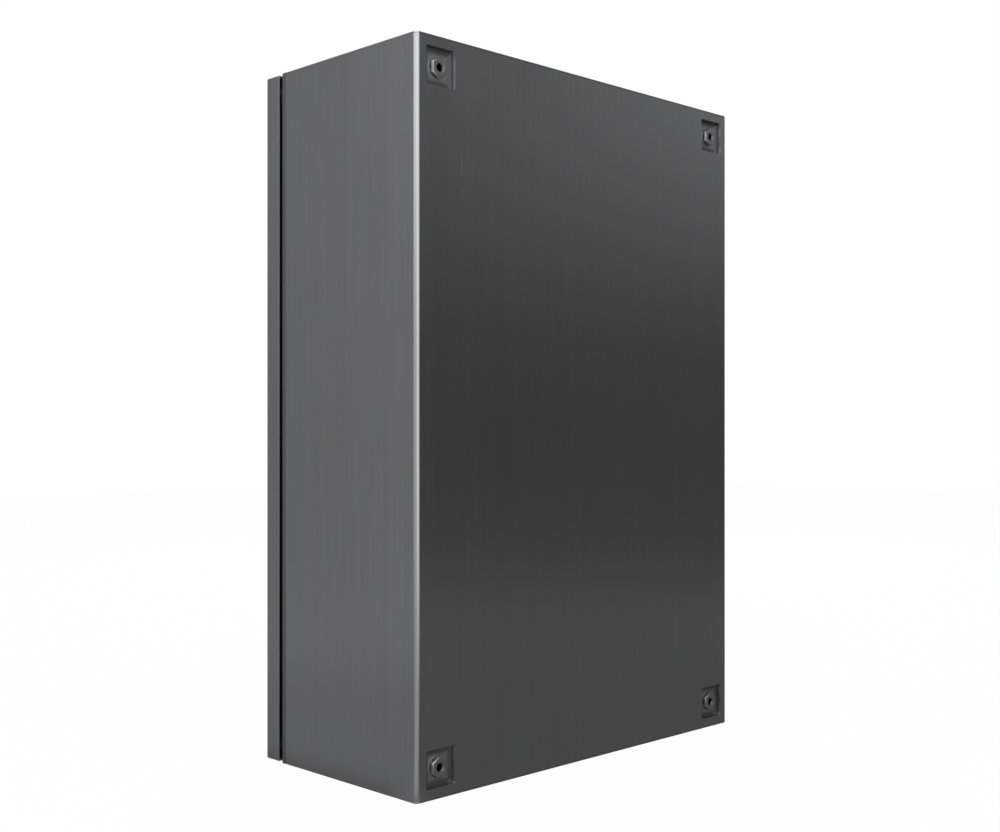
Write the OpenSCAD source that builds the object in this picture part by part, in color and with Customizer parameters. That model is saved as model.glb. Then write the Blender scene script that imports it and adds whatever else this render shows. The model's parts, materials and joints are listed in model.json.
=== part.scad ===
// Steel wall enclosure: a folded and welded box with a hinged door, fixed to a wall by its back.
// The origin is the middle of the wall face. +Z is up, the door is at -Y and the wall at +Y.

/* [Enclosure] */
// Width across the front
box_w = 400; // [340:1:600]
// Height
box_h = 600; // [480:1:1000]
// Depth from the wall face to the front of the closed door
box_d = 206; // [150:1:350]
// Thickness of the body and door sheet
sheet_t = 1.5; // [1:0.1:2]
// Inside radius of the body's folds
bend_r = 2.5; // [1:0.1:4]

/* [Front frame] */
// Length of the frame's outer leg, which is butt-welded to the wrapper and the end panels
frame_leg = 8; // [7:0.5:15]
// Distance from the body's side to the outer face of the sealing rim
rim_inset = 21.75; // [21:0.25:30]
// Inside radius of the fold between the frame's flange and its rim
rim_bend_r = 1; // [0.5:0.1:1.2]

/* [Wall fixing] */
// Distance from the enclosure's sides to the middle of a corner recess
recess_inset_x = 25; // [23:0.5:40]
// Distance from the enclosure's ends to the middle of a corner recess
recess_inset_z = 24; // [22:0.5:40]
// Side of the square corner recess
recess_size = 30.5; // [26:0.5:36]
// Radius of the recess's corners
recess_corner_r = 2; // [1:0.5:5]
// Depth that the recess is pressed in
recess_depth = 4; // [3:0.1:6]
// Width of the bush's hexagon across its flats
bush_af = 15; // [14:0.5:20]
// Height of the bush's hexagon
bush_head_h = 2.7; // [1.5:0.1:4]
// Diameter of the bush's threaded stem
bush_stem_d = 12; // [11:0.5:13]
// Length of the stem behind the hexagon
bush_stem_l = 12; // [10:0.5:14]
// Diameter of the threaded blind hole for the wall screw
bush_bore_d = 6.8; // [5:0.1:8]
// Depth of the blind hole
bush_bore_l = 12.5; // [10:0.5:13]
// Thickness of the sealing washer under the hexagon
bush_seal_t = 0.8; // [0.5:0.1:1.5]
// Width of the bush's lock nut across its flats
bush_nut_af = 18; // [16:0.5:22]
// Height of the lock nut
bush_nut_h = 5; // [4:0.5:6]

/* [Mounting plate] */
// Distance from the enclosure's sides to the mounting plate's edges
plate_margin = 25; // [20:1:40]
// Thickness of the mounting plate
plate_t = 2.5; // [2:0.1:4]
// Gap between the rear panel and the mounting plate
plate_gap = 18.5; // [18:0.5:30]
// Side of the square notch in each corner of the plate
plate_notch = 20; // [15:1:30]
// Distance from the plate's side edges to its studs
plate_stud_x = 25; // [12:1:60]
// Distance from the plate's top and bottom edges to its studs
plate_stud_z = 45; // [42:1:100]
// Diameter of the welded studs
stud_d = 8; // [6:0.5:10]

/* [Cable entry] */
// Width of the opening in the bottom panel
gland_w = 220; // [120:1:260]
// Depth of the opening in the bottom panel
gland_d = 84; // [50:1:90]
// Radius of the opening's corners
gland_corner_r = 8; // [3:0.5:15]
// Width of the edge by which the gland plate overlaps the opening
gland_edge = 16; // [14:0.5:20]
// Thickness of the gland plate
gland_t = 2; // [1.5:0.1:3]
// Thickness of the gasket under the gland plate
gland_gasket_t = 2; // [1:0.1:3]
// Diameter of the gland plate's studs
gland_stud_d = 5; // [4:0.5:6]

/* [Door] */
// Depth of the door's folded edge
door_d = 20.2; // [17:0.1:24]
// Gap between the door's edge and the body
door_gap = 2.9; // [2.7:0.1:5]
// How far the door's edge lies inside the body's outline
door_inset = 0.5; // [0.2:0.1:1]
// Inside radius of the door's folds
door_bend_r = 1.5; // [1:0.1:2]
// Width of the foamed gasket
gasket_w = 11; // [8:0.5:12]
// Thickness of the foamed gasket
gasket_t = 10; // [8:0.1:12]

/* [Hinges] */
// Distance from the top and bottom of the enclosure to the middle of a hinge
hinge_end = 100; // [70:1:140]
// Distance from the door's side to the hinge pin's axis
hinge_u = 5.4; // [5.2:0.1:5.6]
// Distance from the door's rear edge to the hinge pin's axis
hinge_v = 5.5; // [5:0.1:6]
// Diameter of the hinge pin
pin_d = 4; // [3:0.1:4.4]
// Diameter of the hinge knuckles
knuckle_d = 7; // [6.5:0.1:7.2]
// Length of the door's knuckle
leaf_l = 20; // [14:0.5:30]
// Length of each of the body's two knuckles
bracket_l = 12; // [10:0.5:16]
// Thickness of the bracket's arm and leg
bracket_t = 2.4; // [2:0.1:2.6]

/* [Locks] */
// Distance from the top and bottom of the enclosure to a lock
lock_end = 130; // [80:1:180]
// Distance from the enclosure's side to a lock
lock_inset = 46; // [46:0.5:60]
// Diameter of the lock's barrel
lock_d = 20; // [18:0.5:22]
// Diameter of the lock's rosette
rosette_d = 28; // [26:0.5:34]
// Thickness of the rosette
rosette_t = 2; // [1.5:0.1:3]
// Diameter of the rotor's shaft
rotor_d = 12; // [10:0.5:13]
// Length of the cam from the rotor's axis to its tip
cam_l = 34; // [33:0.5:36]
// Width of the cam
cam_w = 18; // [16:0.5:22]
// Thickness of the cam
cam_t = 3; // [2:0.1:4]

/* [Door rails] */
// Distance from the door's middle to each rail's middle
rail_x = 105; // [60:1:110]
// Width of the rail
rail_w = 20; // [16:0.5:26]
// Depth of the rail
rail_d = 12; // [8:0.5:14]
// Distance from the enclosure's ends to the rail's ends
rail_end = 60; // [45:1:100]
// Spacing of the rail's holes
rail_pitch = 25; // [20:1:50]
// Diameter of the rail's holes
rail_hole_d = 6.5; // [4:0.1:8]

/* [Hidden] */
$fn = 48;
fit = 0.05;            // radial clearance of a thread, a stud hole's nut or a running pin
hole_fit = 0.25;       // radial clearance of a stud in a drilled hole
seat = 0.3;            // gap between soft parts or moving parts and their seats
eps = 0.5;             // overshoot of a cutting tool
reach = 4 * box_d;     // length of a cut that goes right through

half_w = box_w / 2;
half_h = box_h / 2;
body_d = box_d - door_d - door_gap;
front = -body_d;                       // front face of the body's frame
fold_r = bend_r + sheet_t;             // outside radius of the body's folds
weld_y = front + frame_leg;            // where the frame's legs meet the wrapper
rim_end = rim_inset + sheet_t;

door_rear = front - door_gap;          // rear edge of the door's folds
door_front = -box_d;
door_w = box_w - 2 * door_inset;
door_h = box_h - 2 * door_inset;
door_in = door_front + sheet_t;        // inner face of the door's panel
door_fold_r = door_bend_r + sheet_t;
door_band = 12;                        // width of the folded strip round the door's panel
gasket_y = door_in + gasket_t;         // face of the gasket that meets the rim
rim_tip = gasket_y + seat;
gasket_inset = rim_inset + sheet_t / 2 - gasket_w / 2;

fix_x = half_w - recess_inset_x;
fix_z = half_h - recess_inset_z;
recess_floor = -recess_depth;
bush_seat = recess_floor + bush_seal_t;
bush_mouth = 0.6;                      // chamfer at the mouth of the blind hole

plate_y = -sheet_t - plate_gap;        // rear face of the mounting plate
plate_w = box_w - 2 * plate_margin;
plate_h = box_h - 2 * plate_margin;
stud_x = plate_w / 2 - plate_stud_x;
stud_z = plate_h / 2 - plate_stud_z;
washer_t = 1.6;
washer_d = 2 * stud_d;
nut_h = 0.8 * stud_d;
stud_end = plate_y - plate_t - washer_t - nut_h - 3;

gland_y = front / 2;
floor_z = -half_h + sheet_t;           // inner face of the bottom panel
gland_nut_h = 4.5;
gland_points = [for (x = [-1, 0, 1], y = [-1, 1])
    [x * (gland_w + gland_edge) / 2, gland_y + y * (gland_d + gland_edge) / 2]];
gland_stud_l = gland_gasket_t + gland_t + gland_nut_h + 2;

hinge_z = half_h - hinge_end;
pivot = [-(door_w / 2 - hinge_u), door_rear - hinge_v];
hinge_l = leaf_l + 2 * bracket_l + 2 * seat;
leg_x = norm([hinge_u, hinge_v]) + 0.25;   // clears the door's folded edge as it swings
foot_t = 3;
foot_w = 6.5;
hinge_screw_d = 4;
hinge_screw_x = leg_x + foot_w / 2;
hinge_screw_z = hinge_l / 2 - 7;
leaf_t = 2.5;
leaf_x0 = door_fold_r - hinge_u + 0.4;     // starts past the door's inner fold
leaf_x1 = 10.4;
hinge_stud_d = 4;
hinge_stud_x = (leaf_x0 + leaf_x1) / 2 + 1;
hinge_nut_h = 3.2;
hinge_nut_af = 7;

lock_x = half_w - lock_inset;
lock_z = half_h - lock_end;
lock_seal_t = 0.8;
rosette_y = door_front - lock_seal_t;      // seat of the rosette
cam_y = front + sheet_t + seat + 0.2;      // face of the cam that draws on the flange
barrel_end = cam_y - 1;
head_d = rotor_d + 4;
head_t = 3.5;
head_y = rosette_y - rosette_t + 0.3;      // front of the rotor, just below the rosette's face
drive_w = 8;
key_depth = 8;                         // depth of the round recess that takes the key
key_gap = 1.2;                         // wall left round the recess
key_post_d = 4.6;
key_bits = [8, 2];                     // reach and width of the post's two bits
lock_screw_d = 5;
lock_screw_af = 13;
lock_screw_h = 3.5;
lock_nut_h = 5;

earth_d = 6;
earth_l = 16;
earth_nut_h = 5;
door_earth_in = [60, 70];              // from the door's hinged edge and from its bottom
door_earth = [-half_w + door_earth_in[0], -half_h + door_earth_in[1]];
body_earth_in = [50, 6];               // from the body's side and from the frame's leg
body_earth = [-half_w + body_earth_in[0], weld_y + body_earth_in[1]];

STEEL = [0.42, 0.42, 0.43];
ZINC = [0.72, 0.73, 0.74];
BRASS = [0.70, 0.66, 0.60];
FOAM = [0.06, 0.06, 0.06];

// ---- Shapes that several parts share ----

// A bar or hole along Y, from y0 to y1, with its axis at x and z
module along_y(x, z, y0, y1, d) {
    translate([x, y1, z]) rotate([90, 0, 0]) cylinder(h = y1 - y0, d = d);
}

// A hexagon along Y, from y0 to y1, with two corners on the Z axis. Its face at +Y is chamfered.
module hex_bar(y0, y1, across_flats) {
    chamfer = 0.04 * across_flats;
    translate([0, y0, 0]) rotate([-90, 0, 0]) intersection() {
        rotate([0, 0, 30]) cylinder(h = y1 - y0, d = across_flats / cos(30), $fn = 6);
        cylinder(h = y1 - y0, r1 = across_flats / 2 - chamfer + 2 * (y1 - y0),
            r2 = across_flats / 2 - chamfer);
    }
}

// A hexagon nut along Y
module hex_nut(y0, y1, across_flats, bore_d) {
    difference() {
        hex_bar(y0, y1, across_flats);
        along_y(0, 0, y0 - eps, y1 + eps, bore_d);
    }
}

// A nut that stands on the XY plane
module nut_up(across_flats, h, bore_d) {
    difference() {
        cylinder(h = h, d = across_flats / cos(30), $fn = 6);
        translate([0, 0, -eps]) cylinder(h = h + 2 * eps, d = bore_d);
    }
}

// A rectangle about the origin with round corners
module round_rect(w, h, r) {
    square([w - 2 * r, h], center = true);
    square([w, h - 2 * r], center = true);
    for (x = [-1, 1], y = [-1, 1])
        translate([x * (w / 2 - r), y * (h / 2 - r)]) circle(r);
}

// The section of a sheet's fold: a quarter ring about [x, y], in the quadrant that qx and qy name
module fold(x, y, r, qx, qy) {
    translate([x, y]) intersection() {
        difference() {
            circle(r + sheet_t);
            circle(r);
        }
        translate([qx < 0 ? -r - sheet_t : 0, qy < 0 ? -r - sheet_t : 0]) square(r + sheet_t);
    }
}

// A rectangular ring of a folded section, with mitred corners. The section's x is the distance
// in from the ring's outline and its y is the depth.
module mitred_ring(w, h, band) {
    for (side = [0, 1]) mirror([side, 0, 0]) intersection() {
        translate([-w / 2, 0, -h / 2]) linear_extrude(h) children();
        rotate([90, 0, 0]) linear_extrude(reach, center = true)
            polygon([[-w / 2, -h / 2], [band - w / 2, band - h / 2],
                     [band - w / 2, h / 2 - band], [-w / 2, h / 2]]);
    }
    for (end = [0, 1]) mirror([0, 0, end]) intersection() {
        translate([-w / 2, 0, h / 2]) rotate([0, 90, 0]) linear_extrude(w) children();
        rotate([90, 0, 0]) linear_extrude(reach, center = true)
            polygon([[-w / 2, h / 2], [band - w / 2, h / 2 - band],
                     [w / 2 - band, h / 2 - band], [w / 2, h / 2]]);
    }
}

// Its child at each of the four wall fixings
module at_fixings() {
    for (x = [-1, 1], z = [-1, 1]) translate([x * fix_x, 0, z * fix_z]) children();
}

// Its child at each of the mounting plate's four studs
module at_plate_studs() {
    for (x = [-1, 1], z = [-1, 1]) translate([x * stud_x, 0, z * stud_z]) children();
}

// ---- Body ----

// One corner recess, pressed in: the tool's outline at a distance out from the recess's walls
module recess(out, y0, y1) {
    translate([0, y1, 0]) rotate([90, 0, 0]) linear_extrude(y1 - y0)
        round_rect(recess_size + 2 * out, recess_size + 2 * out, recess_corner_r + out);
}

module wrapper_section() {
    translate([-half_w + fold_r, -sheet_t]) square([box_w - 2 * fold_r, sheet_t]);
    for (side = [0, 1]) mirror([side, 0]) {
        fold(half_w - fold_r, -fold_r, bend_r, 1, 1);
        translate([half_w - sheet_t, weld_y]) square([sheet_t, -fold_r - weld_y]);
    }
}

module body_wrapper() {
    color(STEEL) difference() {
        union() {
            translate([0, 0, -half_h + sheet_t]) linear_extrude(box_h - 2 * sheet_t) wrapper_section();
            at_fixings() recess(sheet_t, recess_floor - sheet_t, -sheet_t / 2);
        }
        at_fixings() {
            recess(0, recess_floor, eps);
            along_y(0, 0, recess_floor - sheet_t - eps, eps, bush_stem_d + 2 * hole_fit);
        }
    }
}

module end_sheet() {
    linear_extrude(sheet_t) {
        translate([-half_w, weld_y]) square([box_w, -fold_r - weld_y]);
        translate([-half_w + fold_r, weld_y]) square([box_w - 2 * fold_r, -weld_y]);
        for (x = [-1, 1]) translate([x * (half_w - fold_r), -fold_r]) circle(fold_r);
    }
}

module top_panel() {
    color(STEEL) translate([0, 0, half_h - sheet_t]) end_sheet();
}

module gland_opening(h) {
    translate([0, gland_y, 0]) linear_extrude(h) round_rect(gland_w, gland_d, gland_corner_r);
}

module bottom_panel() {
    color(STEEL) translate([0, 0, -half_h]) difference() {
        end_sheet();
        translate([0, 0, -eps]) gland_opening(sheet_t + 2 * eps);
    }
}

// The frame's outer leg, flange and forward rim, whose channel leads rain round the opening
module frame_section() {
    translate([0, front + fold_r]) square([sheet_t, frame_leg - fold_r]);
    fold(fold_r, front + fold_r, bend_r, -1, -1);
    translate([fold_r, front]) square([rim_inset - rim_bend_r - fold_r, sheet_t]);
    fold(rim_inset - rim_bend_r, front - rim_bend_r, rim_bend_r, 1, 1);
    translate([rim_inset, rim_tip]) square([sheet_t, front - rim_bend_r - rim_tip]);
}

module front_frame() {
    color(STEEL) difference() {
        mitred_ring(box_w, box_h, rim_end) frame_section();
        for (z = [-1, 1], s = [-1, 1])
            along_y(pivot[0] + hinge_screw_x, z * hinge_z + s * hinge_screw_z, front - eps,
                front + sheet_t + eps, hinge_screw_d + 2 * hole_fit);
    }
}

// ---- Wall fixing ----

module wall_bushes() {
    face = bush_seat + bush_head_h;
    color(BRASS) at_fixings() difference() {
        union() {
            hex_bar(bush_seat, face, bush_af);
            along_y(0, 0, bush_seat - bush_stem_l, face - bush_head_h / 2, bush_stem_d);
        }
        along_y(0, 0, face - bush_bore_l, face + eps, bush_bore_d);
        translate([0, face, 0]) rotate([90, 0, 0])
            cylinder(h = 2 * bush_mouth, d1 = bush_bore_d + 2 * bush_mouth, d2 = bush_bore_d - 2 * bush_mouth);
    }
}

module bush_seals() {
    color(FOAM) at_fixings() difference() {
        along_y(0, 0, recess_floor, bush_seat, bush_af + 1);
        along_y(0, 0, recess_floor - eps, bush_seat + eps, bush_stem_d + 2 * fit);
    }
}

module bush_nuts() {
    color(ZINC) at_fixings()
        hex_nut(recess_floor - sheet_t - bush_nut_h, recess_floor - sheet_t, bush_nut_af,
            bush_stem_d + 2 * fit);
}

// ---- Mounting plate ----

module plate_studs() {
    color(STEEL) at_plate_studs() along_y(0, 0, stud_end, -sheet_t, stud_d);
}

module plate_spacers() {
    color(ZINC) at_plate_studs() difference() {
        along_y(0, 0, plate_y, -sheet_t, stud_d + 6);
        along_y(0, 0, plate_y - eps, -sheet_t + eps, stud_d + 2 * hole_fit);
    }
}

module mounting_plate() {
    color(ZINC) difference() {
        translate([-plate_w / 2, plate_y - plate_t, -plate_h / 2]) cube([plate_w, plate_t, plate_h]);
        for (x = [-1, 1], z = [-1, 1])
            translate([x * plate_w / 2, plate_y - plate_t / 2, z * plate_h / 2])
                cube([2 * plate_notch, plate_t + 2 * eps, 2 * plate_notch], center = true);
        at_plate_studs() along_y(0, 0, plate_y - plate_t - eps, plate_y + eps, stud_d + 2 * hole_fit);
    }
}

module plate_washers() {
    color(ZINC) at_plate_studs() difference() {
        along_y(0, 0, plate_y - plate_t - washer_t, plate_y - plate_t, washer_d);
        along_y(0, 0, plate_y - plate_t - washer_t - eps, plate_y - plate_t + eps, stud_d + 2 * hole_fit);
    }
}

module plate_nuts() {
    y1 = plate_y - plate_t - washer_t;
    color(ZINC) at_plate_studs() hex_nut(y1 - nut_h, y1, 1.6 * stud_d, stud_d + 2 * fit);
}

// ---- Cable entry ----

// The gasket or the plate over the opening, with its stud holes
module gland_sheet(h) {
    translate([0, gland_y, 0]) linear_extrude(h)
        round_rect(gland_w + 2 * gland_edge, gland_d + 2 * gland_edge, gland_corner_r);
}

module gland_holes(h) {
    for (p = gland_points) translate([p[0], p[1], -eps])
        cylinder(h = h + 2 * eps, d = gland_stud_d + 2 * hole_fit);
}

module gland_studs() {
    color(STEEL) for (p = gland_points) translate([p[0], p[1], floor_z])
        cylinder(h = gland_stud_l, d = gland_stud_d);
}

module gland_gasket() {
    color(FOAM) translate([0, 0, floor_z]) difference() {
        gland_sheet(gland_gasket_t);
        translate([0, 0, -eps]) gland_opening(gland_gasket_t + 2 * eps);
        gland_holes(gland_gasket_t);
    }
}

module gland_plate() {
    color(STEEL) translate([0, 0, floor_z + gland_gasket_t]) difference() {
        gland_sheet(gland_t);
        gland_holes(gland_t);
    }
}

module gland_nuts() {
    color(ZINC) for (p = gland_points)
        translate([p[0], p[1], floor_z + gland_gasket_t + gland_t])
            nut_up(1.6 * gland_stud_d, gland_nut_h, gland_stud_d + 2 * fit);
}

module body_earth_stud() {
    color(ZINC) translate([body_earth[0], body_earth[1], floor_z]) cylinder(h = earth_l, d = earth_d);
}

module body_earth_nut() {
    color(ZINC) translate([body_earth[0], body_earth[1], floor_z])
        nut_up(1.6 * earth_d, earth_nut_h, earth_d + 2 * fit);
}

// ---- Hinges ----
// Each hinge is drawn about its pin: x runs into the enclosure and y towards the wall.

module at_hinge(level) {
    translate([pivot[0], pivot[1], level * hinge_z]) children();
}

// The body's half: a cranked leg from the frame's flange to a knuckle at each end of the pin
module hinge_bracket() {
    foot_y = front - pivot[1];
    difference() {
        union() {
            translate([0, 0, -hinge_l / 2]) linear_extrude(hinge_l) {
                translate([leg_x, -bracket_t]) square([bracket_t, bracket_t + foot_y]);
                translate([leg_x, foot_y - foot_t]) square([foot_w, foot_t]);
            }
            for (end = [0, 1]) mirror([0, 0, end])
                translate([0, 0, hinge_l / 2 - bracket_l]) linear_extrude(bracket_l) {
                    circle(d = knuckle_d);
                    translate([0, -bracket_t]) square([leg_x + bracket_t, bracket_t]);
                }
        }
        translate([0, 0, -hinge_l / 2 - eps]) cylinder(h = hinge_l + 2 * eps, d = pin_d + 0.02);
        for (s = [-1, 1])
            along_y(hinge_screw_x, s * hinge_screw_z, foot_y - foot_t - eps, foot_y + eps,
                hinge_screw_d + 2 * fit);
    }
}

module hinge_pin() {
    translate([0, 0, -hinge_l / 2 - 1]) cylinder(h = hinge_l + 1, d = pin_d);
    translate([0, 0, hinge_l / 2]) cylinder(h = 1.2, d = pin_d + 2);
}

// The door's half: a knuckle on a neck, and a leaf that lies on the door's panel
module hinge_leaf() {
    panel_y = door_in - pivot[1];
    difference() {
        union() {
            translate([0, 0, -leaf_l / 2]) linear_extrude(leaf_l) {
                circle(d = knuckle_d);
                translate([leaf_x0, panel_y]) square([-2 * leaf_x0 + 1.5, -panel_y]);
            }
            translate([leaf_x0, panel_y, -hinge_l / 2]) cube([leaf_x1 - leaf_x0, leaf_t, hinge_l]);
        }
        translate([0, 0, -leaf_l / 2 - eps]) cylinder(h = leaf_l + 2 * eps, d = pin_d + 2 * fit);
        for (s = [-1, 1])
            along_y(hinge_stud_x, s * hinge_screw_z, panel_y - eps, panel_y + leaf_t + eps,
                hinge_stud_d + 2 * hole_fit);
    }
}

module hinge_bracket_upper() { color(ZINC) at_hinge(1) hinge_bracket(); }
module hinge_bracket_lower() { color(ZINC) at_hinge(-1) hinge_bracket(); }
module hinge_pin_upper() { color(STEEL) at_hinge(1) hinge_pin(); }
module hinge_pin_lower() { color(STEEL) at_hinge(-1) hinge_pin(); }
module hinge_leaf_upper() { color(ZINC) at_hinge(1) hinge_leaf(); }
module hinge_leaf_lower() { color(ZINC) at_hinge(-1) hinge_leaf(); }

module hinge_screws() {
    foot_y = front - pivot[1];
    color(ZINC) for (level = [-1, 1], s = [-1, 1]) at_hinge(level) {
        along_y(hinge_screw_x, s * hinge_screw_z, foot_y - foot_t, foot_y + sheet_t, hinge_screw_d);
        along_y(hinge_screw_x, s * hinge_screw_z, foot_y + sheet_t, foot_y + sheet_t + 2.6,
            1.75 * hinge_screw_d);
    }
}

module hinge_studs() {
    panel_y = door_in - pivot[1];
    color(STEEL) for (level = [-1, 1], s = [-1, 1]) at_hinge(level)
        along_y(hinge_stud_x, s * hinge_screw_z, panel_y, panel_y + leaf_t + hinge_nut_h + 0.6,
            hinge_stud_d);
}

module hinge_nuts() {
    y0 = door_in - pivot[1] + leaf_t;
    color(ZINC) for (level = [-1, 1], s = [-1, 1]) at_hinge(level)
        translate([hinge_stud_x, 0, s * hinge_screw_z])
            hex_nut(y0, y0 + hinge_nut_h, hinge_nut_af, hinge_stud_d + 2 * fit);
}

// ---- Door ----

module door_section() {
    translate([0, door_front + door_fold_r]) square([sheet_t, door_d - door_fold_r]);
    fold(door_fold_r, door_front + door_fold_r, door_bend_r, -1, -1);
    translate([door_fold_r, door_front]) square([door_band - door_fold_r, sheet_t]);
}

module door_panel() {
    color(STEEL) difference() {
        union() {
            mitred_ring(door_w, door_h, door_band) door_section();
            translate([door_band - door_w / 2, door_front, door_band - door_h / 2])
                cube([door_w - 2 * door_band, sheet_t, door_h - 2 * door_band]);
        }
        for (z = [-1, 1])
            along_y(lock_x, z * lock_z, door_front - eps, door_in + eps, lock_d + 2 * hole_fit);
    }
}

// The foamed-in-place gasket, one bead with mitred corners
module door_gasket() {
    color(FOAM) mitred_ring(box_w - 2 * gasket_inset, box_h - 2 * gasket_inset, gasket_w)
        translate([0, door_in]) square([gasket_w, gasket_t]);
}

// A perforated channel, open towards the door's panel
module door_rail(side) {
    rail_h = box_h - 2 * rail_end;
    holes = floor((rail_h - rail_pitch) / rail_pitch);
    translate([side * rail_x, door_in, 0]) difference() {
        translate([-rail_w / 2, 0, -rail_h / 2]) cube([rail_w, rail_d, rail_h]);
        translate([-rail_w / 2 + sheet_t, -eps, -rail_h / 2 - eps])
            cube([rail_w - 2 * sheet_t, rail_d - sheet_t + eps, rail_h + 2 * eps]);
        for (i = [0 : holes])
            along_y(0, (i - holes / 2) * rail_pitch, rail_d - sheet_t - eps, rail_d + eps, rail_hole_d);
    }
}

module door_rail_left() { color(STEEL) door_rail(-1); }
module door_rail_right() { color(STEEL) door_rail(1); }

module door_earth_stud() {
    color(ZINC) along_y(door_earth[0], door_earth[1], door_in, door_in + earth_l, earth_d);
}

module door_earth_nut() {
    color(ZINC) translate([door_earth[0], 0, door_earth[1]])
        hex_nut(door_in, door_in + earth_nut_h, 1.6 * earth_d, earth_d + 2 * fit);
}

// ---- Locks ----

module at_lock(level) {
    translate([lock_x, 0, level * lock_z]) children();
}

module lock_seals() {
    color(FOAM) for (level = [-1, 1]) at_lock(level) difference() {
        along_y(0, 0, rosette_y, door_front, rosette_d - 1);
        along_y(0, 0, rosette_y - eps, door_front + eps, lock_d + 2 * fit);
    }
}

// The threaded barrel and its rosette, bored for the rotor's shaft and head
module lock_housing() {
    difference() {
        union() {
            along_y(0, 0, rosette_y - rosette_t, rosette_y, rosette_d);
            along_y(0, 0, rosette_y, barrel_end, lock_d);
        }
        along_y(0, 0, rosette_y - rosette_t - eps, barrel_end + eps, rotor_d + 2 * fit);
        along_y(0, 0, rosette_y - rosette_t - eps, head_y + head_t, head_d + 2 * fit);
    }
}

module lock_housing_upper() { color(ZINC) at_lock(1) lock_housing(); }
module lock_housing_lower() { color(ZINC) at_lock(-1) lock_housing(); }

module lock_nuts() {
    color(ZINC) for (level = [-1, 1]) at_lock(level)
        hex_nut(door_in, door_in + lock_nut_h, lock_d + 4, lock_d + 2 * fit);
}

// The rotor: a head with a sunk double-bit key post, a shaft and a square drive for the cam
module lock_rotor() {
    difference() {
        union() {
            along_y(0, 0, head_y, head_y + head_t - seat, head_d);
            along_y(0, 0, head_y, cam_y, rotor_d);
            translate([-drive_w / 2, cam_y - eps, -drive_w / 2]) cube([drive_w, cam_t + eps, drive_w]);
        }
        difference() {
            along_y(0, 0, head_y - eps, head_y + key_depth, rotor_d - 2 * key_gap);
            translate([0, head_y + key_depth, 0]) rotate([90, 0, 0]) linear_extrude(key_depth - 1) {
                circle(d = key_post_d);
                square(key_bits, center = true);
            }
        }
        along_y(0, 0, cam_y - 8, cam_y + cam_t + eps, lock_screw_d + 2 * fit);
    }
}

// The cam, which hangs down when the lock is open and turns behind the frame's flange to close it
module lock_cam() {
    difference() {
        translate([0, cam_y + cam_t, 0]) rotate([90, 0, 0]) linear_extrude(cam_t) {
            circle(d = cam_w + 4);
            translate([-cam_w / 2, cam_w / 4 - cam_l]) square([cam_w, cam_l - cam_w / 4]);
            translate([-cam_w / 4, -cam_l]) square([cam_w / 2, cam_w / 2]);
            for (x = [-1, 1]) translate([x * cam_w / 4, cam_w / 4 - cam_l]) circle(d = cam_w / 2);
        }
        translate([-drive_w / 2 - fit, cam_y - eps, -drive_w / 2 - fit])
            cube([drive_w + 2 * fit, cam_t + 2 * eps, drive_w + 2 * fit]);
    }
}

module lock_screw() {
    along_y(0, 0, cam_y - 7, cam_y + cam_t, lock_screw_d);
    hex_bar(cam_y + cam_t, cam_y + cam_t + lock_screw_h, lock_screw_af);
}

module lock_rotor_upper() { color(ZINC) at_lock(1) lock_rotor(); }
module lock_rotor_lower() { color(ZINC) at_lock(-1) lock_rotor(); }
module lock_cam_upper() { color(ZINC) at_lock(1) lock_cam(); }
module lock_cam_lower() { color(ZINC) at_lock(-1) lock_cam(); }
module lock_screw_upper() { color(ZINC) at_lock(1) lock_screw(); }
module lock_screw_lower() { color(ZINC) at_lock(-1) lock_screw(); }

body_wrapper();
top_panel();
bottom_panel();
front_frame();
wall_bushes();
bush_seals();
bush_nuts();
plate_studs();
plate_spacers();
mounting_plate();
plate_washers();
plate_nuts();
gland_studs();
gland_gasket();
gland_plate();
gland_nuts();
body_earth_stud();
body_earth_nut();
hinge_bracket_upper();
hinge_bracket_lower();
hinge_pin_upper();
hinge_pin_lower();
hinge_screws();
door_panel();
door_gasket();
door_rail_left();
door_rail_right();
hinge_leaf_upper();
hinge_leaf_lower();
hinge_studs();
hinge_nuts();
door_earth_stud();
door_earth_nut();
lock_seals();
lock_housing_upper();
lock_housing_lower();
lock_nuts();
lock_rotor_upper();
lock_rotor_lower();
lock_cam_upper();
lock_cam_lower();
lock_screw_upper();
lock_screw_lower();
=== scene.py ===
import json
import math

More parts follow.
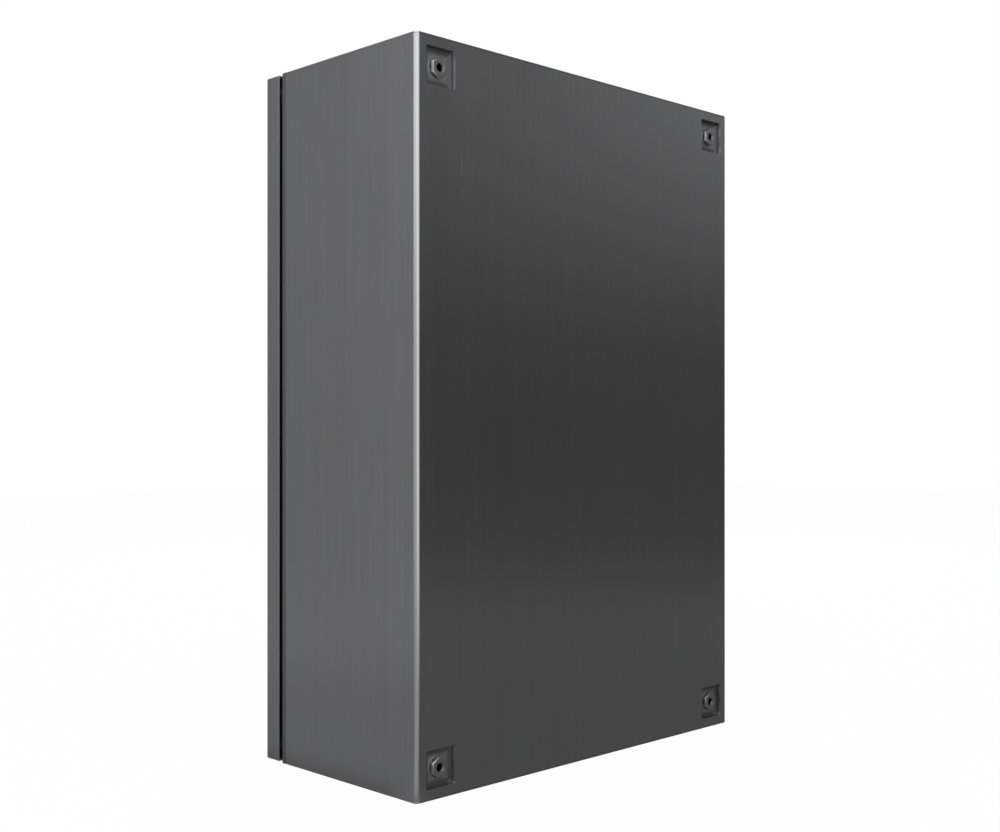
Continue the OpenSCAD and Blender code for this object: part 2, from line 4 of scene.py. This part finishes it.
import bmesh
import bpy
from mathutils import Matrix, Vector

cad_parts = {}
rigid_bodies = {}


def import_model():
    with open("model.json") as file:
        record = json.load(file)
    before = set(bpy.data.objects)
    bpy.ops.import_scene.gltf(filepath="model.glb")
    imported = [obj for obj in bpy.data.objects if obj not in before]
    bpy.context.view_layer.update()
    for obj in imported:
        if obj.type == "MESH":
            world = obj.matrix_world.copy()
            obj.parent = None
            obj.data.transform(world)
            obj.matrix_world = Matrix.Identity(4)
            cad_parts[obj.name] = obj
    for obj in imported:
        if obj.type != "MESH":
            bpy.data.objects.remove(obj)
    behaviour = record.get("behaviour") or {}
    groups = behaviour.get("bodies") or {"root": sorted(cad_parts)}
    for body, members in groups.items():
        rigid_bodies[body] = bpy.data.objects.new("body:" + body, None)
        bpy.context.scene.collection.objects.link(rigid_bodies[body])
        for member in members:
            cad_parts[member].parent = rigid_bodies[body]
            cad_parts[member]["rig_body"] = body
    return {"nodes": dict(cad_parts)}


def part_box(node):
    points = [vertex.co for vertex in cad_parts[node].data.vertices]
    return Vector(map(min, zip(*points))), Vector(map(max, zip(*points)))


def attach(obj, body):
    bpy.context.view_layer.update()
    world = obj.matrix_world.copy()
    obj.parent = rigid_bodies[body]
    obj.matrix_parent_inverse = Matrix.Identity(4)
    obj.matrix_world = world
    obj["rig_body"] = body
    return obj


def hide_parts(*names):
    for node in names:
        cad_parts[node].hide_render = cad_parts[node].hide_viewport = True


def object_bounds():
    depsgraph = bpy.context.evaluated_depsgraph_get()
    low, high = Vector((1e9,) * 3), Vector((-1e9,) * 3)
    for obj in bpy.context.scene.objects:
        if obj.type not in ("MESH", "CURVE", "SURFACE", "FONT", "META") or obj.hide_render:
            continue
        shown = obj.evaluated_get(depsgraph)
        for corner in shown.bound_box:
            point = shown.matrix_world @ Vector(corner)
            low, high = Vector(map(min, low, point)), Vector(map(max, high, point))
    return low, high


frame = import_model()
cad_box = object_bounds()
scene = bpy.context.scene

# ---- Camera ----
# The enclosure is looked at from the wall's side, level with its middle, so that its back and
# its free side both show.
view = bpy.data.cameras.new("view")
view.sensor_width = 36.0
view.lens = 47.406
view.shift_x = -0.0408
view.shift_y = 0.0105
view.clip_start = 0.01
camera = bpy.data.objects.new("camera", view)
camera.location = (0.8599, 0.7835, -0.0071)
camera.rotation_euler = (math.radians(90), 0, math.radians(134.495))
scene.collection.objects.link(camera)
scene.camera = camera


# ---- Studio ----
# A pale floor that the box stands on, a plain pale world round it, and a grey studio drape that
# only polished things see, so that bare steel has the dim walls and one lit wall to reflect.
class Wire:
    """One output of a material's nodes. Sums and products of wires add Math nodes."""

    def __init__(self, tree, socket=None):
        self.tree, self.socket = tree, socket

    def node(self, kind, settings=None, inputs=None, out=0):
        made = self.tree.nodes.new(kind)
        for name, value in (settings or {}).items():
            if name == "stops":
                ramp = made.color_ramp
                while len(ramp.elements) < len(value):
                    ramp.elements.new(0.5)
                for stop, (place, level) in zip(ramp.elements, value):
                    stop.position = place
                    stop.color = (level, level, level, 1)
            else:
                setattr(made, name, value)
        for name, value in (inputs or {}).items():
            if isinstance(value, Wire):
                self.tree.links.new(value.socket, made.inputs[name])
            else:
                made.inputs[name].default_value = value
        return Wire(self.tree, made.outputs[out]) if made.outputs else made

    def math(self, operation, first, second=0.0):
        return self.node("ShaderNodeMath", {"operation": operation}, {0: first, 1: second})

    def __add__(self, other):
        return self.math("ADD", self, other)

    __radd__ = __add__

    def __sub__(self, other):
        return self.math("SUBTRACT", self, other)

    def __rsub__(self, other):
        return self.math("SUBTRACT", other, self)

    def __mul__(self, other):
        return self.math("MULTIPLY", self, other)

    __rmul__ = __mul__

    def __truediv__(self, other):
        return self.math("DIVIDE", self, other)


def new_finish(name):
    finish = bpy.data.materials.new(name)
    finish.use_nodes = True
    finish.node_tree.nodes.clear()
    return finish, Wire(finish.node_tree)


def xyz(wire, place):
    part = wire.node("ShaderNodeSeparateXYZ", inputs={0: place}).socket.node
    return [Wire(wire.tree, part.outputs[i]) for i in range(3)]


def ramped(wire, value, low, high):
    # 0 below low, 1 above high, and a soft change between them
    return wire.node("ShaderNodeMapRange", {"interpolation_type": "SMOOTHSTEP"},
                     {"Value": value, "From Min": low, "From Max": high})


def deselect():
    if bpy.context.object and bpy.context.object.mode != "OBJECT":
        bpy.ops.object.mode_set(mode="OBJECT")
    bpy.ops.object.select_all(action="DESELECT")


# Grey of the studio's walls by compass direction in degrees: beside the floor, at the box's
# height and above it
LOW_WALL = [(-180, 0.15), (-90, 0.22), (-45, 0.25), (-10, 0.22), (40, 0.32), (70, 0.5),
            (95, 0.4), (115, 0.16), (140, 0.15), (180, 0.15)]
MIDDLE_WALL = [(-180, 0.09), (-90, 0.22), (-45, 0.21), (-20, 0.5), (30, 0.62), (68, 1.2),
               (90, 0.8), (107, 0.045), (140, 0.062), (180, 0.09)]
HIGH_WALL = [(-180, 0.3), (-90, 0.28), (-45, 0.2), (-20, 1.1), (30, 1.4), (68, 1.45),
             (90, 0.9), (107, 0.05), (135, 0.17), (160, 0.34)]


NEAR, ROUND, FAR = 0.5, 1.0, 2.0
CLOSE_GREY = 0.11


def studio_light(wire, near):
    x, y, z = xyz(wire, wire.node("ShaderNodeTexCoord", out="Object"))
    turn = wire.math("ARCTAN2", y, x) / (2 * math.pi) + 0.5
    low, middle, high = (
        wire.node("ShaderNodeValToRGB", {"stops": [(d / 360 + 0.5, level) for d, level in wall]},
                  {0: turn}) for wall in (LOW_WALL, MIDDLE_WALL, HIGH_WALL))
    if near:
        # Right beside the box the floor is lit evenly, a little more on its free corner's side
        away = wire.math("POWER", x * x + y * y, 0.5)
        corner = ramped(wire, x, 0.17, 0.25) * (0.09 + ramped(wire, y, -0.06, 0.02) * 0.2)
        close = corner + CLOSE_GREY
        low = close + (low - close) * ramped(wire, away, NEAR, ROUND)
        return low + (middle - low) * ramped(wire, away, NEAR, FAR)
    return middle + (high - middle) * ramped(wire, z, 0.1, 1.0)


FLOOR_Z = cad_box[0][2]
deselect()
bpy.ops.mesh.primitive_grid_add(x_subdivisions=4, y_subdivisions=4, size=9,
                                location=(0, 0, FLOOR_Z))
bpy.ops.object.transform_apply(location=True, rotation=True, scale=True)
floor = bpy.context.object
floor.name = "floor"
floor_paint, wire = new_finish("floor_paint")
ray = wire.node("ShaderNodeLightPath", out="Is Camera Ray")
glossy = Wire(wire.tree, ray.socket.node.outputs["Is Glossy Ray"])
pale = wire.node("ShaderNodeBsdfDiffuse", inputs={"Color": (0.86, 0.86, 0.86, 1)})
white = wire.node("ShaderNodeEmission", inputs={"Color": (1, 1, 1, 1), "Strength": 1})
drape = wire.node("ShaderNodeEmission", inputs={"Color": studio_light(wire, True)})
seen = wire.node("ShaderNodeMixShader", inputs={0: ray * 0.97, 1: pale, 2: white})
seen = wire.node("ShaderNodeMixShader", inputs={0: glossy, 1: seen, 2: drape})
wire.node("ShaderNodeOutputMaterial", inputs={0: seen})
floor.data.materials.append(floor_paint)

deselect()
bpy.ops.mesh.primitive_uv_sphere_add(segments=64, ring_count=32, radius=2.4, location=(0, 0, 0))
drapes = bpy.context.object
drapes.name = "studio_drape"
bpy.ops.object.mode_set(mode="EDIT")
bpy.ops.mesh.select_all(action="SELECT")
bpy.ops.mesh.bisect(plane_co=(0, 0, FLOOR_Z - 0.02), plane_no=(0, 0, 1), clear_inner=True)
bpy.ops.mesh.select_all(action="SELECT")
bpy.ops.mesh.normals_make_consistent(inside=True)
bpy.ops.object.mode_set(mode="OBJECT")
drapes.visible_camera = drapes.visible_diffuse = drapes.visible_shadow = False
drapes.visible_transmission = drapes.visible_volume_scatter = False
drape_cloth, wire = new_finish("drape_cloth")
lit = wire.node("ShaderNodeEmission", inputs={"Color": studio_light(wire, False)})
wire.node("ShaderNodeOutputMaterial", inputs={0: lit})
drapes.data.materials.append(drape_cloth)

world = bpy.data.worlds.new("studio")
scene.world = world
world.use_nodes = True
world.node_tree.nodes.clear()
wire = Wire(world.node_tree)
ray = wire.node("ShaderNodeLightPath", out="Is Camera Ray")
direct = ray
for kind in ("Is Glossy Ray", "Is Transmission Ray"):
    direct = wire.math("MAXIMUM", direct, Wire(wire.tree, ray.socket.node.outputs[kind]))
sky = wire.node("ShaderNodeBackground", inputs={"Color": (0.6, 0.6, 0.6, 1), "Strength": 1})
white = wire.node("ShaderNodeBackground", inputs={"Color": (1, 1, 1, 1), "Strength": 1})
seen = wire.node("ShaderNodeMixShader", inputs={0: direct, 1: sky, 2: white})
wire.node("ShaderNodeOutputWorld", inputs={0: seen})
scene.view_settings.view_transform = "Standard"

for name, spot, size, watts in (("key_softbox", (1.6, 1.2, 1.7), 1.4, 32),
                                ("fill_softbox", (-1.6, -1.6, 1.5), 1.8, 24)):
    lamp = bpy.data.lights.new(name, "AREA")
    lamp.shape = "SQUARE"
    lamp.size = size
    lamp.energy = watts
    holder = bpy.data.objects.new(name, lamp)
    holder.location = spot
    holder.rotation_euler = (-Vector(spot)).to_track_quat("-Z", "Y").to_euler()
    holder.visible_glossy = False
    scene.collection.objects.link(holder)

# ---- Body sheet ----
# The back and both sides are one stainless sheet, brushed from top to bottom and folded twice.
# Four square recesses are pressed into its back; the press rounds their lips and roughens their
# walls, and painted shade darkens the colour of the walls and floors away from the bushes.
SHEET_TONE = (0.535, 0.538, 0.552)
EDGE = 0.0003
SHARP = 0.7
DOUBLES = 0.000002
LIP = 0.0024
LIP_SEGMENTS = 4
FLUSH = -0.0005
LIP_X, LIP_Z = (0.15, 0.1955), (0.25, 0.2955)
BUSH_X, BUSH_Z = 0.175, 0.276
PRESSED = (0.0018, 0.0028)
PRESSED_REACH = 0.0172
# Painted shade: between these distances from a bush's middle, the colour of the recess walls and
# floor darkens to the tone below
PAINTED_SHADE_FROM, PAINTED_SHADE_TO = 0.0078, 0.0125
PAINTED_SHADE_TONE = (0.25, 0.25, 0.255, 1)
GRAIN_LENGTH = 110


def brushed(name, tone, rough, along, grain=1.0, recessed=False):
    # Bare metal: a fine brushed grain along one axis, wider faint bands and uneven patches; where
    # # recessed, painted shade darkens the walls and floors of the back's recesses
    finish, wire = new_finish(name)
    place = wire.node("ShaderNodeTexCoord", out="Object")
    streak = 0
    for scale, share in ((1400, 0.5), (380, 0.3), (60, 0.2)):
        stretch = [scale, scale, scale]
        stretch["XYZ".index(along)] = scale / GRAIN_LENGTH
        at = wire.node("ShaderNodeMapping", inputs={"Vector": place, "Scale": stretch})
        noise = wire.node("ShaderNodeTexNoise", {}, {"Vector": at, "Scale": 1, "Detail": 3})
        streak = noise * share + streak
    patch = wire.node("ShaderNodeTexNoise", {}, {"Vector": place, "Scale": 4, "Detail": 2})
    even = wire.node("ShaderNodeMapRange", {},
                     {"Value": streak, "From Min": 0.35, "From Max": 0.65})
    dark = tuple(value * (1 - 0.05 * grain) for value in tone) + (1,)
    light = tuple(value * (1 + 0.05 * grain) for value in tone) + (1,)
    colour = wire.node("ShaderNodeMix", {"data_type": "RGBA"}, {0: even, 6: dark, 7: light}, out=2)
    roughness = rough + (streak - 0.5) * 0.12 * grain + (patch - 0.5) * 0.05
    if recessed:
        x, y, z = xyz(wire, place)
        beside = wire.math("MAXIMUM",
                           wire.math("ABSOLUTE", wire.math("ABSOLUTE", x) - BUSH_X),
                           wire.math("ABSOLUTE", wire.math("ABSOLUTE", z) - BUSH_Z))
        pressed = ramped(wire, 0 - y, *PRESSED) \
            * ramped(wire, PRESSED_REACH - beside, 0, 0.0002)
        # Painted shade: away from the bush, the colour of the pressed walls and floor is mixed
        # towards a dark grey
        painted_shade = ramped(wire, beside, PAINTED_SHADE_FROM, PAINTED_SHADE_TO) * pressed
        colour = wire.node("ShaderNodeMix", {"data_type": "RGBA"},
                           {0: painted_shade, 6: colour, 7: PAINTED_SHADE_TONE}, out=2)
        roughness = roughness + pressed * 0.2
    relief = wire.node("ShaderNodeBump", {}, {"Strength": 0.05 * grain, "Distance": 0.0001,
                                              "Height": streak})
    metal = wire.node("ShaderNodeBsdfPrincipled", {}, {
        "Base Color": colour, "Metallic": 1, "Roughness": roughness, "Normal": relief})
    wire.node("ShaderNodeOutputMaterial", inputs={0: metal})
    return finish


def dressed(node, name, finish, edge=EDGE, lip=None, smooth=35):
    # The CAD piece with its doubles merged and its sharp edges rounded by a fine bevel
    piece = bpy.data.objects.new(name, frame["nodes"][node].data.copy())
    scene.collection.objects.link(piece)
    deselect()
    piece.select_set(True)
    bpy.context.view_layer.objects.active = piece
    if piece.data.has_custom_normals:
        bpy.ops.mesh.customdata_custom_splitnormals_clear()
    piece.data.materials.clear()
    piece.data.materials.append(finish)
    bpy.ops.object.mode_set(mode="EDIT")
    bpy.ops.mesh.select_all(action="SELECT")
    bpy.ops.mesh.remove_doubles(threshold=DOUBLES)
    bpy.ops.mesh.dissolve_limited(angle_limit=math.radians(0.5))
    bpy.ops.object.mode_set(mode="OBJECT")
    shape = bmesh.new()
    shape.from_mesh(piece.data)
    weight = (shape.edges.layers.float.get("bevel_weight_edge")
              or shape.edges.layers.float.new("bevel_weight_edge"))
    widest = lip or edge
    for side in shape.edges:
        if len(side.link_faces) == 2 and side.is_convex and side.calc_face_angle(0) > SHARP:
            middle = (side.verts[0].co + side.verts[1].co) / 2
            at_lip = (lip and middle.y > FLUSH
                      and LIP_X[0] < abs(middle.x) < LIP_X[1]
                      and LIP_Z[0] < abs(middle.z) < LIP_Z[1])
            side[weight] = 1 if at_lip else edge / widest
    shape.to_mesh(piece.data)
    shape.free()
    soft = piece.modifiers.new("soft_edges", "BEVEL")
    soft.limit_method = "WEIGHT"
    soft.width = widest
    soft.segments = LIP_SEGMENTS if lip else 2
    bpy.ops.object.modifier_apply(modifier="soft_edges")
    bpy.ops.object.shade_smooth_by_angle(angle=math.radians(smooth))
    even = piece.modifiers.new("flat_faces", "WEIGHTED_NORMAL")
    even.keep_sharp = True
    even.weight = 100
    bpy.ops.object.modifier_apply(modifier="flat_faces")
    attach(piece, frame["nodes"][node]["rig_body"])
    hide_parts(node)


back_steel = brushed("back_steel", SHEET_TONE, 0.25, "Z", recessed=True)
dressed("body_wrapper", "body_sheet", back_steel, lip=LIP)

# ---- End panels ----
# Flat sheets let in between the folded sides and welded all round; the welds are ground flush
# and the sheets are brushed from side to side.
end_steel = brushed("end_steel", SHEET_TONE, 0.25, "X")
dressed("top_panel", "top_sheet", end_steel)
dressed("bottom_panel", "bottom_sheet", end_steel)

# ---- Front frame ----
# Four folded channels, mitred and welded into a ring. The flange is left rougher, as it comes from
# the mill, because the door covers it, and painted shade darkens its colour for the gap behind the
# door; the forward rim bites into the door's gasket.
# Painted shade: a darker tone than the sheet's stands in for the shade in the gap behind the door
frame_steel_painted_shade = brushed("frame_steel_painted_shade", (0.30, 0.30, 0.31), 0.38, "Z", 0.6)
dressed("front_frame", "frame_ring", frame_steel_painted_shade)


# ---- Wall bushes ----
# Blind threaded bushes turned from bright hexagon bar. Thin nuts draw them into the recesses
# from inside, on rubber washers.
FINE_EDGE = 0.0002
COARSE_PITCH = 0.00125
BUSH_BORE_R = 0.0042


def threaded(name, tone, rough, along, pitch, bores=None):
    # Bare metal with a screw thread's ridges along one axis; where bores are given, the ridges are
    # in
    # # them only and painted shade blackens the bores below their mouths
    finish, wire = new_finish(name)
    place = wire.node("ShaderNodeTexCoord", out="Object")
    parts = xyz(wire, place)
    ridges = wire.math("SINE", parts["XYZ".index(along)] * (2 * math.pi / pitch))
    noise = wire.node("ShaderNodeTexNoise", {}, {"Vector": place, "Scale": 700, "Detail": 3})
    colour = wire.node("ShaderNodeMix", {"data_type": "RGBA"}, {
        0: noise, 6: tuple(value * 0.92 for value in tone) + (1,),
        7: tuple(value * 1.06 for value in tone) + (1,)}, out=2)
    roughness = rough + (noise - 0.5) * 0.1
    if bores:
        across = wire.math("ABSOLUTE", parts[0]) - bores[0]
        up = wire.math("ABSOLUTE", parts[2]) - bores[1]
        away = wire.math("POWER", across * across + up * up, 0.5)
        inside = 1 - ramped(wire, away, bores[2], bores[2] + 0.0002)
        # Painted shade: below the mouth of each bore its colour goes to near black
        painted_bore_shade = inside * ramped(wire, 0 - parts[1], 0.0012, 0.0032)
        ridges = ridges * inside
        colour = wire.node("ShaderNodeMix", {"data_type": "RGBA"},
                           {0: painted_bore_shade, 6: colour, 7: (0.012, 0.012, 0.012, 1)}, out=2)
        roughness = roughness + painted_bore_shade * 0.3
    relief = wire.node("ShaderNodeBump", {}, {"Strength": 0.6, "Distance": pitch / 3,
                                              "Height": ridges})
    metal = wire.node("ShaderNodeBsdfPrincipled", {}, {
        "Base Color": colour, "Metallic": 1, "Roughness": roughness, "Normal": relief})
    wire.node("ShaderNodeOutputMaterial", inputs={0: metal})
    return finish


def rubber(name, tone, cells, depth):
    # Matt black rubber or foam skin with fine cells
    finish, wire = new_finish(name)
    place = wire.node("ShaderNodeTexCoord", out="Object")
    noise = wire.node("ShaderNodeTexNoise", {}, {"Vector": place, "Scale": cells, "Detail": 3})
    colour = wire.node("ShaderNodeMix", {"data_type": "RGBA"}, {
        0: noise, 6: (tone, tone, tone, 1), 7: (tone * 1.8, tone * 1.8, tone * 1.85, 1)}, out=2)
    relief = wire.node("ShaderNodeBump", {},
                       {"Strength": 0.5, "Distance": depth, "Height": noise})
    skin = wire.node("ShaderNodeBsdfPrincipled", {}, {
        "Base Color": colour, "Roughness": 0.75 + noise * 0.15, "Normal": relief})
    wire.node("ShaderNodeOutputMaterial", inputs={0: skin})
    return finish


# The bushes' bores are given painted shade, near black below their mouths
turned_steel = threaded("turned_steel", (0.56, 0.56, 0.565), 0.36, "Y", COARSE_PITCH,
                        bores=(BUSH_X, BUSH_Z, BUSH_BORE_R))
washer_rubber = rubber("washer_rubber", 0.02, 900, 0.0001)
zinc_plate = brushed("zinc_plate", (0.64, 0.65, 0.67), 0.36, "Z", 0.4)
dressed("wall_bushes", "bushes", turned_steel, edge=0.0005)
dressed("bush_seals", "bush_washers", washer_rubber, edge=FINE_EDGE)
dressed("bush_nuts", "bush_lock_nuts", zinc_plate, edge=FINE_EDGE)

# ---- Mounting plate ----
# A zinc-plated sheet that carries the devices, bolted on four welded studs with spacers,
# washers and nuts.
stud_thread = threaded("stud_thread", (0.55, 0.55, 0.56), 0.34, "Y", COARSE_PITCH)
dressed("plate_studs", "welded_studs", stud_thread)
dressed("plate_spacers", "stud_spacers", zinc_plate)
dressed("mounting_plate", "device_plate", zinc_plate)
dressed("plate_washers", "stud_washers", zinc_plate, edge=FINE_EDGE)
dressed("plate_nuts", "stud_nuts", zinc_plate, edge=FINE_EDGE)

# ---- Cable entry ----
# A blank plate closes the bottom opening from inside; it seals on a rubber gasket and is drawn
# down by nuts on welded studs.
FINE_PITCH = 0.0008
upright_thread = threaded("upright_thread", (0.55, 0.55, 0.56), 0.34, "Z", FINE_PITCH)
dressed("gland_gasket", "entry_gasket", washer_rubber, edge=FINE_EDGE)
dressed("gland_plate", "entry_plate", end_steel)
dressed("gland_studs", "entry_studs", upright_thread, edge=FINE_EDGE)
dressed("gland_nuts", "entry_nuts", zinc_plate, edge=FINE_EDGE)
dressed("body_earth_stud", "body_earth_screw", upright_thread, edge=FINE_EDGE)
dressed("body_earth_nut", "body_earth_hex", zinc_plate, edge=FINE_EDGE)

# ---- Hinges on the body ----
# Die-cast brackets screwed on the frame's flange hold the hinge pins, hidden when the door is
# shut.
cast_zinc = brushed("cast_zinc", (0.50, 0.50, 0.51), 0.45, "Z", 0.2)
pin_steel = brushed("pin_steel", (0.60, 0.60, 0.61), 0.25, "Z", 0.3)
for level in ("upper", "lower"):
    dressed("hinge_bracket_" + level, level + "_hinge_bracket", cast_zinc)
    dressed("hinge_pin_" + level, level + "_hinge_pin", pin_steel, edge=FINE_EDGE)
dressed("hinge_screws", "bracket_screws", zinc_plate, edge=FINE_EDGE)

# ---- Door ----
# A stainless sheet brushed like the sides, inside and out, with all four edges folded back. It
# hangs on its two hinge leaves.
door_steel = brushed("door_steel", SHEET_TONE, 0.26, "Z")
dressed("door_panel", "door_sheet", door_steel)

# ---- Door gasket ----
# Polyurethane foam poured in place as one soft bead round the door's inside, with a crowned top
# that the frame's rim presses into.
foam = rubber("foam", 0.012, 2600, 0.0002)
low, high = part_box("door_gasket")
BEAD_W, BEAD_CORNER_R, CROWN_R = 0.011, 0.004, 0.0046
deselect()
bpy.ops.mesh.primitive_plane_add(size=1, location=(0, low.y, 0),
                                 rotation=(math.radians(-90), 0, 0))
bead = bpy.context.object
bead.name = "door_foam_bead"
bead.scale = (high.x - low.x, high.z - low.z, 1)
bead.location.x = (high.x + low.x) / 2
bpy.ops.object.transform_apply(location=True, rotation=True, scale=True)
bpy.ops.object.mode_set(mode="EDIT")
bpy.ops.mesh.select_all(action="SELECT")
bpy.ops.mesh.bevel(offset=BEAD_CORNER_R, segments=5, affect="VERTICES")
bpy.ops.mesh.inset(thickness=BEAD_W)
bpy.ops.mesh.delete(type="FACE")
bpy.ops.mesh.select_all(action="SELECT")
bpy.ops.mesh.extrude_region_move(TRANSFORM_OT_translate={"value": (0, high.y - low.y, 0)})
bpy.ops.mesh.select_all(action="SELECT")
bpy.ops.mesh.normals_make_consistent(inside=False)
bpy.ops.object.mode_set(mode="OBJECT")
shape = bmesh.new()
shape.from_mesh(bead.data)
weight = shape.edges.layers.float.new("bevel_weight_edge")
for side in shape.edges:
    on_top = all(corner.co.y > high.y - 0.0001 for corner in side.verts)
    if on_top and side.calc_face_angle(0) > SHARP:
        side[weight] = 1
shape.to_mesh(bead.data)
shape.free()
crown = bead.modifiers.new("crown", "BEVEL")
crown.limit_method = "WEIGHT"
crown.width = CROWN_R
crown.segments = 5
bpy.ops.object.modifier_apply(modifier="crown")
bpy.ops.object.shade_smooth_by_angle(angle=math.radians(50))
bead.data.materials.append(foam)
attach(bead, "door")
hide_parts("door_gasket")

# ---- Door fittings ----
# Two perforated rails stiffen the door, and cast leaves on welded studs carry it on the hinge
# pins. An earth stud is welded low on the hinged side.
for side in ("left", "right"):
    dressed("door_rail_" + side, side + "_door_rail", zinc_plate, edge=FINE_EDGE)
for level in ("upper", "lower"):
    dressed("hinge_leaf_" + level, level + "_hinge_leaf", cast_zinc)
dressed("hinge_studs", "leaf_studs", stud_thread, edge=FINE_EDGE)
dressed("hinge_nuts", "leaf_nuts", zinc_plate, edge=FINE_EDGE)
dressed("door_earth_stud", "door_earth_screw", stud_thread, edge=FINE_EDGE)
dressed("door_earth_nut", "door_earth_hex", zinc_plate, edge=FINE_EDGE)

# ---- Locks ----
# Two quarter-turn cam locks: a cast housing through the door on a rubber washer, a nut behind
# it, and a rotor with a double-bit post that turns a pressed cam behind the frame's flange.
dressed("lock_seals", "lock_washers", washer_rubber, edge=FINE_EDGE)
dressed("lock_nuts", "housing_nuts", zinc_plate, edge=FINE_EDGE)
for level in ("upper", "lower"):
    dressed("lock_housing_" + level, level + "_lock_housing", cast_zinc)
    dressed("lock_rotor_" + level, level + "_lock_rotor", cast_zinc, edge=FINE_EDGE)
    dressed("lock_cam_" + level, level + "_lock_cam", zinc_plate)
    dressed("lock_screw_" + level, level + "_cam_screw", zinc_plate, edge=FINE_EDGE)
